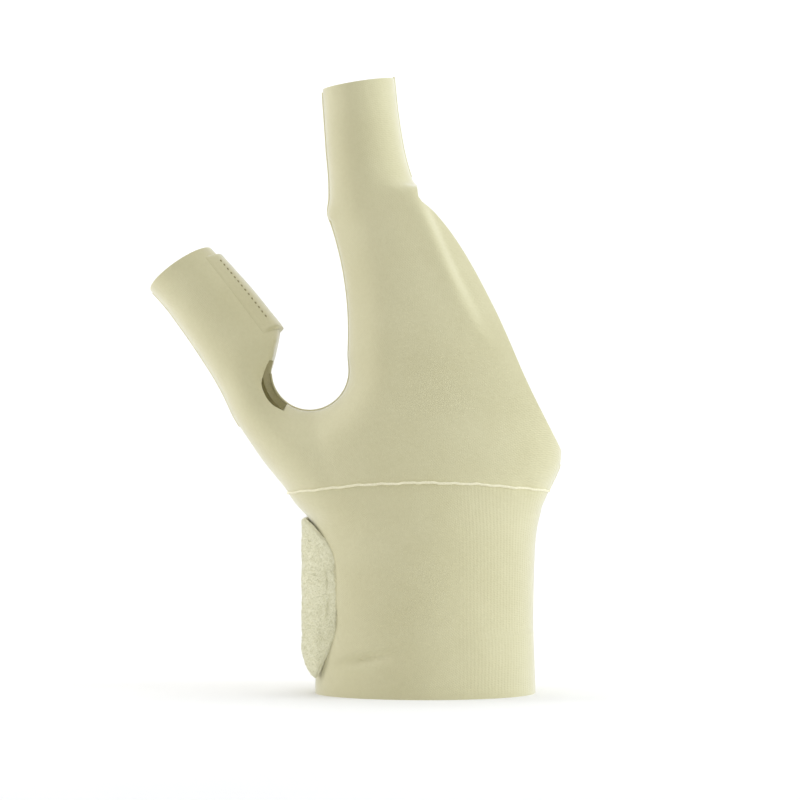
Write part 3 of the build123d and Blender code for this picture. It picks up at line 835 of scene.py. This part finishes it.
def stitches(name, path, normals, length, width, proud, step):
    """A row of short threads along a line on the skin."""
    path = np.array(path)
    run = np.concatenate([[0], np.cumsum(np.linalg.norm(np.diff(path, axis=0), axis=1))])
    marks = []
    for start in np.arange(step / 2, run[-1] - length, step):
        at = np.linspace(start, start + length, 7)
        line = np.stack([np.interp(at, run, path[:, k]) for k in range(3)], axis=1)
        lift = np.stack([np.interp(at, run, normals[:, k]) for k in range(3)], axis=1)
        lift /= np.linalg.norm(lift, axis=1, keepdims=True)
        bow = np.sin(np.linspace(0, math.pi, 7))
        tangent = line[-1] - line[0]
        tangent /= np.linalg.norm(tangent)
        rings = []
        for k in range(7):
            side = np.cross(tangent, lift[k])
            size = width / 2 * (0.45 + 0.55 * bow[k])
            middle = line[k] + lift[k] * (proud * bow[k] - width * 0.3)
            around = np.linspace(0, 2 * math.pi, 8, endpoint=False)
            wide, tall = np.outer(np.cos(around), side) * size, np.outer(np.sin(around), lift[k]) * size
            rings.append(middle + wide + tall)
        marks.append(make_object("mark", *tube_grid(rings)))
    row = join(name, marks)
    shade_smooth(row, 80.0)
    return row


def stitch_rows(name, rows, trim, facing, *sizes):
    """Rows of stitches along lines of points that all face one way, as one piece."""
    marks = []
    for row in rows:
        column = np.stack(row, axis=-1)[trim:-trim]
        marks.append(stitches("row", column, np.tile(facing, (len(column), 1)), *sizes))
    whole = join(name, marks)
    dress(whole, PALE_THREAD)
    return whole


def fibres(name, grid, normals, count, length, thick, seed, material):
    """Short curled hairs over a grid of points, as the pile of loop fabric."""
    dice = np.random.default_rng(seed)
    rows, columns = grid.shape[:2]
    down = np.linalg.norm(grid[1:, :-1] - grid[:-1, :-1], axis=2)
    across = np.linalg.norm(grid[:-1, 1:] - grid[:-1, :-1], axis=2)
    area = (down * across).ravel()
    cell = dice.choice(len(area), count, p=area / area.sum())
    r0, c0 = cell // (columns - 1), cell % (columns - 1)
    fr, fc = dice.uniform(0, 1, (count, 1)), dice.uniform(0, 1, (count, 1))

    def mixed(field):
        return ((1 - fr) * (1 - fc) * field[r0, c0] + (1 - fr) * fc * field[r0, c0 + 1]
                + fr * (1 - fc) * field[r0 + 1, c0] + fr * fc * field[r0 + 1, c0 + 1])

    root = mixed(grid)
    up = mixed(normals)
    lean = dice.normal(size=(count, 3))
    lean -= (lean * up).sum(axis=1, keepdims=True) * up
    lean /= np.linalg.norm(lean, axis=1, keepdims=True)
    across = np.cross(lean, up)
    size = length * dice.uniform(0.6, 1.3, count)[:, None]
    points, faces = [], []
    for share, rise in ((0.0, -0.1), (0.3, 0.75), (0.75, 0.9), (1.0, 0.35)):
        middle = root + lean * size * share + up * size * rise
        points.append(middle - across * thick / 2)
        points.append(middle + across * thick / 2)
    points = np.stack(points, axis=1).reshape(-1, 3)
    for k in range(count):
        base = k * 8
        faces += [(base, base + 1, base + 3, base + 2), (base + 2, base + 3, base + 5, base + 4),
                  (base + 4, base + 5, base + 7, base + 6)]
    pile = make_object(name, points, faces)
    dress(pile, material)
    return pile


# ---- seams
def around_wrist():
    """The wrist seam's line on the form, as a closed loop."""
    count = 420
    angles = np.linspace(0, 2 * math.pi, count, endpoint=False)
    out = np.stack([90 * np.cos(angles), 70 * np.sin(angles), np.full(count, WRIST_Z)], axis=1)
    into = np.stack([-np.cos(angles), -0.78 * np.sin(angles), np.zeros(count)], axis=1)
    heights = np.full(count, WRIST_Z)
    for _ in range(3):
        out[:, 2] = heights
        places, normals = on_skin(out, into)
        heights = wrist_line(places[:, 0])
    normals[:, 2] *= 0.3
    normals /= np.linalg.norm(normals, axis=1, keepdims=True)
    return places, normals


seam_path, seam_normals = around_wrist()
wrist_edge = ridge("wrist_seam", seam_path, seam_normals, 0.8, 0.55, 0.9, closed=True, wave=0.11)
dress(wrist_edge, SEAM_EDGE)

web_loop, web_count = web_outline()
web_line = spaced(web_loop[:web_count], SEAM_STEP)
web_points = np.stack([web_line[:, 0], np.zeros(len(web_line)), web_line[:, 1]], axis=1)
web_points[:, 1] = thumb_middle(web_points)
index_rise = np.arange(CROTCH_Z - 1.2, INDEX_TOP - 4.3, SEAM_STEP)
rise_origins = np.stack([np.full(len(index_rise), -70.0), np.zeros(len(index_rise)), index_rise], axis=1)
rise_path, rise_normals = on_skin(rise_origins, np.tile([1.0, 0.0, 0.0], (len(index_rise), 1)))
near = [SKIN_TREE.find_nearest(Vector(point)) for point in web_points]
path = np.concatenate([np.array([tuple(hit[0]) for hit in near]), rise_path])
normals = np.concatenate([np.array([tuple(hit[1]) for hit in near]), rise_normals])
for _ in range(6):
    path[1:-1] = (path[:-2] + 2 * path[1:-1] + path[2:]) / 4
    normals[1:-1] = (normals[:-2] + 2 * normals[1:-1] + normals[2:]) / 4
normals /= np.linalg.norm(normals, axis=1, keepdims=True)
web_seam = ridge("web_seam", path, normals, 1.1, 0.42)
dress(web_seam, RAW_EDGE)


def side_seam(name, origins, aims):
    """A thin bead where rays meet the skin."""
    path, normals = on_skin(np.array(origins), np.array(aims))
    seam = ridge(name, path, normals, width=0.9, proud=0.3)
    dress(seam, RAW_EDGE)
    return seam


def thumb_ray(along, angle, far=45.0):
    """A ray's start and direction, from outside the thumb towards its axis."""
    out = math.cos(angle) * THUMB_SIDE + math.sin(angle) * THUMB_BACK
    return THUMB_ROOT + along * THUMB_AXIS + far * out, -out


def ray_arrays(rays):
    """The starts and the directions of a list or a grid of rays."""
    both = np.array(rays)
    return both[..., 0, :], both[..., 1, :]


thumb_runs = np.arange(40.0, THUMB_LENGTH - 0.4, SEAM_STEP)
thumb_side_seam = side_seam("thumb_side_seam", *ray_arrays([thumb_ray(run, math.pi) for run in thumb_runs]))
index_side = np.arange(CROTCH_Z + 8, INDEX_TOP + 0.2, SEAM_STEP)
index_side_seam = side_seam(
    "index_side_seam", [(40.0, 0.0, z) for z in index_side], [(-1.0, 0.0, 0.0)] * len(index_side)
)
palm_side = np.arange(WRIST_Z - 3.2, CORNER_Z - 1.8, SEAM_STEP)
palm_side_seam = side_seam(
    "palm_side_seam", [(90.0, 1.0, z) for z in palm_side], [(-1.0, 0.0, 0.0)] * len(palm_side)
)

# ---- thumb strip
STRIP_LOW = 59.0
STRIP_HIGH = 93.5
STRIP_RAY = 21.0  # rays start between thumb and index
strip_runs = np.linspace(STRIP_LOW, STRIP_HIGH, 44)
strip_angles = np.radians(np.linspace(-50.0, 8.0, 26))
strip_rays = [[thumb_ray(along, angle, STRIP_RAY) for angle in strip_angles] for along in strip_runs]
places, normals = skin_grid(*ray_arrays(strip_rays))
lift = 1.2 * rounded(edge_distance(places), 0.7)
lift *= smoothstep((np.degrees(strip_angles)[None, :] + 50) / 30.0) * 0.8 + 0.2
thumb_strip = slab("thumb_strip", places + normals * lift[..., None], places - normals * 0.5)
dress(thumb_strip, LAMINATE)

stitch_runs = np.linspace(STRIP_LOW + 4, STRIP_HIGH - 2.0, 60)
rays = [thumb_ray(along, math.radians(-29.0), STRIP_RAY) for along in stitch_runs]
path, normals = on_skin(*ray_arrays(rays))
thumb_stitches = stitches("thumb_stitches", path + normals * 0.98, normals, 1.15, 0.62, 0.28, 1.95)
dress(thumb_stitches, THREAD)


# ---- strap and tab
FORWARD = np.array([0.0, -1.0, 0.0])
STRAP_FRONT = -corner("strap_end_tab", 0)[1]
ANCHOR_X = STRAP_FOLD[0]


def oval_at(theta, side, depth):
    """Points of an oval that starts at the radial side; theta grows round it."""
    return np.stack([-side * np.cos(theta), depth * np.sin(theta)], axis=-1)


def band(theta, heights, side, depth, shift):
    """A grid of an upright oval wall, moved outwards by shift."""
    flat = oval_at(theta, side, depth)
    out = np.stack([flat[..., 0] / side**2, flat[..., 1] / depth**2], axis=-1)
    out /= np.linalg.norm(out, axis=-1, keepdims=True)
    flat = flat + out * shift[..., None]
    points = np.stack([flat[..., 0], flat[..., 1], heights], axis=-1)
    normals = np.stack([out[..., 0], out[..., 1], np.zeros_like(heights)], axis=-1)
    return points, normals


def webbing(name, theta, heights, side, depth, thick, joined, edge=1.1):
    """A soft band on an oval wall, with rounded edges; side and depth are its outer face."""
    zero = np.zeros_like(heights)
    flat, normals = band(theta, heights, side, depth, zero)
    inside = edge_distance(flat, joined)
    round_off = thick / 2 * (1 - rounded(inside, edge))
    ripple = 0.10 * np.sin(heights * 0.55 + theta * 7.0) * rounded(edge_distance(flat), 4.0)
    top, _ = band(theta, heights, side, depth, -round_off + ripple)
    bottom, _ = band(theta, heights, side, depth, -thick + round_off)
    return slab(name, top, bottom), top, normals


strap_start = math.asin((TAB_FOLD[1] - 0.1) / STRAP_BACK)
strap_end = math.pi - math.acos(ANCHOR_X / (STRAP_SIDE - 1.3))
theta, heights = np.meshgrid(
    np.linspace(strap_start, strap_end, 150), np.linspace(STRAP_LOW, STRAP_HIGH, 46), indexing="ij"
)
strap, strap_top, strap_normals = webbing(
    "strap", theta, heights, STRAP_SIDE, STRAP_BACK, STRAP_THICK, (True, True)
)
dress(strap, LOOP_PILE)

anchor_x = np.linspace(ANCHOR_X - 0.2, ANCHOR_X + 7.6, 16)
anchor_z = np.linspace(STRAP_LOW, STRAP_HIGH, 46)
ax, az = np.meshgrid(anchor_x, anchor_z, indexing="ij")
skin_places, _ = skin_grid(np.stack([ax, np.full_like(ax, FAR_BEHIND), az], axis=-1), FORWARD)
outer_theta = np.arccos(np.clip(-ax / STRAP_SIDE, -1, 1))
inner_theta = np.arccos(np.clip(-ax / (STRAP_SIDE - STRAP_THICK), -1, 1))
high = STRAP_BACK * np.sin(outer_theta)
low = (STRAP_BACK - STRAP_THICK) * np.sin(inner_theta)
drop = smoothstep((ax - ANCHOR_X) / 6.0)
skin_y = skin_places[..., 1]
top_y = np.maximum(high * (1 - drop) + (skin_y + 1.5) * drop, skin_y + 0.2)
low_y = low * (1 - drop) + (skin_y - 0.6) * drop
rim = rounded(edge_distance(np.stack([ax, top_y, az], axis=-1), (True, False)), 0.9)
half = (top_y - low_y) / 2
anchor = slab(
    "strap_anchor_pad",
    np.stack([ax, top_y - half * (1 - rim) * 0.7, az], axis=-1),
    np.stack([ax, low_y, az], axis=-1),
)
dress(anchor, LOOP_PILE)
rows = [(ax[k], top_y[k], az[k]) for k in (8, 11)]
anchor_stitches = stitch_rows("anchor_stitches", rows, 2, [0.55, 0.83, 0.0], 2.2, 0.5, 0.25, 3.4)

# The tab's edges as heights over its outer face's x
TAB_END = 29.2  # the end's distance from the middle plane
TAB_BEND = 34.0  # radius by which an inset becomes an angle
TAB_HIGH_X = [-STRAP_SIDE, -38.6, -35.2, -32.0, -30.2, -TAB_END]
TAB_HIGH_Z = [STRAP_HIGH, 57.0, 53.6, 50.0, 46.4, 40.0]
TAB_LOW_X = [-STRAP_SIDE, -40.6, -39.2, -37.2, -34.2, -31.4, -29.8, -TAB_END]
TAB_LOW_Z = [STRAP_LOW, 10.4, 7.6, TAB_LOW, 11.2, 17.2, 21.4, 28.0]
tab_high = eased(TAB_HIGH_X, TAB_HIGH_Z)
tab_low = eased(TAB_LOW_X, TAB_LOW_Z)


def tab_grid(side, depth, inset=0.0, rows=90, columns=64):
    """Angles and heights over the tab's outline on an oval, set in from its edges."""
    last = -math.acos(TAB_END / STRAP_SIDE) + inset / TAB_BEND
    first = math.asin((TAB_FOLD[1] - 0.1) / STRAP_FRONT) if inset == 0 else -0.02
    share = np.linspace(0, 1, rows)
    share = 1 - (1 - share) ** 1.5
    theta = first + (last - first) * share
    x = -STRAP_SIDE * np.cos(theta - inset / TAB_BEND)
    top = tab_high(x) - inset
    low = tab_low(x) + inset
    bend = np.linspace(0, 1, columns)
    heights = low[:, None] + (top - low)[:, None] * bend[None, :]
    return np.broadcast_to(theta[:, None], heights.shape), heights


theta, heights = tab_grid(STRAP_SIDE, STRAP_FRONT)
TAB_THICK = STRAP_THICK - 0.8
tab, tab_top, tab_normals = webbing(
    "tab", theta, heights, STRAP_SIDE, STRAP_FRONT, TAB_THICK, (True, False), edge=1.0
)
dress(tab, LOOP_PILE)
HAIR_LENGTH = 0.42
HAIR_THICK = 0.045
tab_pile = fibres("tab_pile", tab_top, tab_normals, 9000, HAIR_LENGTH, HAIR_THICK, 7, LOOP_PILE)
strap_pile = fibres("strap_pile", strap_top, strap_normals, 14000, HAIR_LENGTH, HAIR_THICK, 11, LOOP_PILE)

theta, heights = tab_grid(STRAP_SIDE, STRAP_FRONT, inset=2.5, rows=50, columns=50)
hook_side = STRAP_SIDE - TAB_THICK - 0.02
hook_front = STRAP_FRONT - TAB_THICK - 0.02
top, normals = band(theta, heights, hook_side, hook_front, np.zeros_like(heights))
hook_low, _ = band(theta, heights, hook_side, hook_front, np.full_like(heights, -0.35))
hook_base = slab("hook_base", top, hook_low)
dress(hook_base, HOOK_TAPE)


def hooks(grid, normals, radius):
    """Small bent prongs on the tape, in rows."""
    rows = np.linspace(1, len(grid) - 2, 26).round().astype(int)
    columns = np.linspace(1, grid.shape[1] - 2, 34).round().astype(int)
    prongs = []
    for r in rows:
        for c in columns:
            root, up = grid[r, c], -normals[r, c]
            lean = np.array([0.0, 0.0, 1.0 if c % 2 else -1.0])
            across = np.cross(up, lean)
            rings = []
            for rise, run in ((0.0, 0.0), (0.25, 0.0), (0.4, 0.08), (0.4, 0.24), (0.28, 0.3)):
                middle = root + up * rise + lean * run
                around = np.linspace(0, 2 * math.pi, 5, endpoint=False)
                rings.append(middle + np.outer(np.cos(around), across) * radius
                             + np.outer(np.sin(around), up * 0.5 + lean * 0.5) * radius)
            prongs.append(tube_grid(rings))
    points = np.concatenate([p for p, _ in prongs])
    faces, base = [], 0
    for part_points, part_faces in prongs:
        faces += [tuple(base + i for i in face) for face in part_faces]
        base += len(part_points)
    return make_object("hook_prongs", points, faces)


hook_prongs = hooks(hook_low, normals, radius=0.07)
dress(hook_prongs, HOOK_TAPE)

theta, heights = tab_grid(STRAP_SIDE, STRAP_FRONT, inset=3.5, rows=56, columns=56)
outside, pad_out = band(theta, heights, STRAP_SIDE, STRAP_FRONT, np.full_like(heights, 12.0))
places, normals = skin_grid(outside, -pad_out)
lift = 0.95 * rounded(edge_distance(places), 0.8)
loop_top = places + normals * lift[..., None]
loop_patch = slab("loop_patch", loop_top, places - normals * 0.4)
dress(loop_patch, LOOP_PILE)
loop_pile = fibres("loop_pile_hairs", loop_top, normals, 5000, 0.3, 0.04, 23, LOOP_PILE)


# ---- palmar pocket
POCKET_LOW, POCKET_HIGH = corner("palmar_stay_pocket", 0), corner("palmar_stay_pocket", 1)
px, pz = np.meshgrid(
    np.linspace(POCKET_LOW[0], POCKET_HIGH[0], 46),
    np.linspace(POCKET_LOW[2], POCKET_HIGH[2], 92), indexing="ij"
)
places, _ = skin_grid(np.stack([px, np.full_like(px, FAR_BEHIND), pz], axis=-1), FORWARD)
skin_y = places[..., 1]
roof_low = corner("palmar_stay_caps", 1)[1] + 0.2
roof = POCKET_HIGH[1] - 0.15
cavity = smoothstep((POCKET_HIGH[0] - 1.8 - np.abs(px)) / 3.0) * smoothstep((pz - POCKET_LOW[2] - 1.2) / 3.0)
top_y = (skin_y + 1.3) * (1 - cavity) + roof * cavity
round_off = rounded(edge_distance(np.stack([px, top_y, pz], axis=-1)), 0.9)
sewn_y = skin_y - 0.4
low_y = np.where(cavity > 0.02, np.maximum(sewn_y, sewn_y * (1 - cavity) + roof_low * cavity), sewn_y)
low_y = np.minimum(low_y, top_y - 0.5)
top_y = np.maximum(top_y - 0.7 * (1 - round_off), low_y + 0.3)
pocket_face = np.stack([px, top_y, pz], axis=-1)
pocket = slab("stay_pocket", pocket_face, np.stack([px, low_y, pz], axis=-1))
dress(pocket, LAMINATE)
rows = [(px[k], top_y[k], pz[k]) for k in (3, 42)]
pocket_stitches = stitch_rows("pocket_stitches", rows, 3, [0.0, 1.0, 0.0], 2.2, 0.45, 0.2, 3.3)


# ---- sewn-in stay pockets
def sewn_pocket(name, origins, aims):
    """A closed pocket on the skin with sewn edges, and the flat stay inside it."""
    height = 2.7
    sewn = 0.55
    places, normals = skin_grid(origins, aims)
    inside = edge_distance(places)
    lift = sewn * rounded(inside, 0.6) + (height - sewn) * smoothstep((inside - 1.4) / 2.6)
    cover = slab(name, places + normals * lift[..., None], places - normals * 0.4)
    dress(cover, LAMINATE)
    core = places[6:-6, 6:-6], normals[6:-6, 6:-6]
    stay = slab(name + "_stay", core[0] + core[1] * (height - 0.8), core[0] + core[1] * (height - 1.8))
    dress(stay, STAY_PLASTIC)
    return cover, stay


thumb_along = np.linspace(57.0, 93.0, 50)
thumb_across = np.linspace(-10.5, 3.4, 22)
ta, tx = np.meshgrid(thumb_along, thumb_across, indexing="ij")
origins = THUMB_ROOT + ta[..., None] * THUMB_AXIS + tx[..., None] * THUMB_SIDE + 45.0 * THUMB_BACK
thumb_pocket, thumb_stay = sewn_pocket("thumb_pocket", origins, -THUMB_BACK)

INDEX_POCKET = corner("index_stay_pocket", 0), corner("index_stay_pocket", 1)
iz, ix = np.meshgrid(
    np.linspace(INDEX_POCKET[0][2], INDEX_POCKET[1][2], 46),
    np.linspace(INDEX_POCKET[0][0], INDEX_POCKET[1][0], 22), indexing="ij"
)
origins = np.stack([ix, np.full_like(ix, 60.0), iz], axis=-1)
index_pocket, index_stay = sewn_pocket("index_pocket", origins, FORWARD)


# ---- stage
def area_light(name, place, aim, size, power, colour=(1, 1, 1)):
    data = bpy.data.lights.new(name, "AREA")
    data.shape = "RECTANGLE"
    data.size = size[0]
    data.size_y = size[1]
    data.energy = power
    data.color = colour
    lamp = bpy.data.objects.new(name, data)
    lamp.location = place
    lamp.rotation_euler = (Vector(aim) - Vector(place)).to_track_quat("-Z", "Y").to_euler()
    bpy.context.scene.collection.objects.link(lamp)


def build_stage():
    """A pale floor that curves up behind, soft lights and the camera."""
    profile = [(-1.2, 0.0), (0.9, 0.0)]
    profile += [(0.9 + 0.5 * math.sin(a), 0.5 - 0.5 * math.cos(a)) for a in np.linspace(0.1, math.pi / 2, 12)]
    profile += [(1.4, 2.2)]
    points = [(x / MM, y / MM, z / MM) for x in (-2.5, 2.5) for y, z in profile]
    count = len(profile)
    faces = [(i, i + 1, count + i + 1, count + i) for i in range(count - 1)]
    backdrop = make_object("backdrop", points, faces)
    material, nodes, links, bsdf = shader_nodes("pale_paper")
    grain = noise(nodes, links, object_place(nodes), 6.0)
    links.new(tinted(nodes, links, grain, (0.86, 0.86, 0.86), (0.9, 0.9, 0.9)), bsdf.inputs["Base Color"])
    bsdf.inputs["Roughness"].default_value = 0.9
    dress(backdrop, material)

    world = bpy.data.worlds.new("studio")
    world.use_nodes = True
    set_inputs(world.node_tree.nodes["Background"], {"Color": (1, 1, 1, 1), "Strength": 0.65})
    bpy.context.scene.world = world
    middle = (-0.01, 0.0, 0.10)
    area_light("right", (1.0, -0.22, 0.30), middle, (0.5, 0.9), 7.6, (0.89, 0.95, 1.0))
    area_light("left", (-1.0, 0.10, 0.25), middle, (0.4, 0.9), 5.0)
    area_light("top", (0.0, 0.1, 1.3), middle, (1.0, 1.0), 4.0)
    area_light("wall", (0.0, 0.45, 1.3), (0.0, 1.4, 0.45), (1.6, 0.4), 7.0)
    bpy.context.scene.view_settings.view_transform = "Standard"

    camera_data = bpy.data.cameras.new("camera")
    camera_data.lens = 134.0
    camera_data.sensor_width = 36.0
    camera = bpy.data.objects.new("camera", camera_data)
    camera.location = (-0.0084, -1.0, 0.0982)
    camera.rotation_euler = (math.pi / 2, 0, 0)
    bpy.context.scene.collection.objects.link(camera)
    bpy.context.scene.camera = camera


build_stage()


# ---- CAD pieces that stay
CAD_FINISH = {
    "palmar_stay": ALUMINIUM,
    "palmar_stay_caps": CAP_PLASTIC,
}
for node, material in CAD_FINISH.items():
    dress(bpy.data.objects[node], material)

# ---- each piece follows the root body, and the CAD parts it stands for are hidden
delete(form)
ROOT_PIECES = {
    hand_skin: ("laminate_fabric", [
        "hand_dorsal_panel", "hand_palmar_panel", "web_gusset", "index_sleeve_dorsal",
        "index_sleeve_palmar", "thumb_sleeve_dorsal", "thumb_sleeve_palmar",
    ]),
    cuff_skin: ("laminate_fabric", ["cuff_dorsal_panel", "cuff_palmar_panel", "cuff_elastic_panel"]),
    wrist_edge: ("seam_edge", ["wrist_seam_edge"]),
    web_seam: ("seam_edge", []),
    thumb_side_seam: ("seam_edge", []),
    index_side_seam: ("seam_edge", []),
    palm_side_seam: ("seam_edge", []),
    thumb_strip: ("laminate_fabric", ["thumb_seam_strip"]),
    thumb_stitches: ("thread", ["thumb_seam_stitches"]),
    anchor: ("loop_pile", ["strap_anchor"]),
    anchor_stitches: ("thread", ["strap_anchor_stitches"]),
    loop_patch: ("loop_pile", ["loop_pad"]),
    loop_pile: ("loop_pile", []),
    pocket: ("laminate_fabric", ["palmar_stay_pocket"]),
    pocket_stitches: ("thread", ["palmar_pocket_stitches"]),
    thumb_pocket: ("laminate_fabric", ["thumb_stay_pocket"]),
    index_pocket: ("laminate_fabric", ["index_stay_pocket"]),
    thumb_stay: ("stay_plastic", ["thumb_stay"]),
    index_stay: ("stay_plastic", ["index_stay"]),
}
for piece, (finish, nodes) in ROOT_PIECES.items():
    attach(piece, "root")
    if nodes:
        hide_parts(*nodes)
for piece in (hook_base, hook_prongs):
    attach(piece, "tab")
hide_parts("hook_patch")


def cut_size(grid):
    """A band's greatest width and length and its flat area, in metres, from its face's grid."""
    run = run_along(grid, 0).max() * MM
    height = run_along(grid, 1).max() * MM
    down = grid[1:, :-1] - grid[:-1, :-1]
    across = grid[:-1, 1:] - grid[:-1, :-1]
    area = np.linalg.norm(np.cross(down, across), axis=2).sum() * MM * MM
    return (float(run), float(height)), float(min(area, run * height))


for cloth, grid, under in ((strap, strap_top, ["cuff_skin"]), (tab, tab_top, ["loop_patch"]),
                           (pocket, pocket_face, ["cuff_skin", "hand_skin"])):
    flat, area = cut_size(grid)

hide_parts("wrist_strap")
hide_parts("strap_end_tab")


for piece in (strap, strap_pile):
    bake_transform(piece)
for piece in (tab, tab_pile):
    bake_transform(piece)
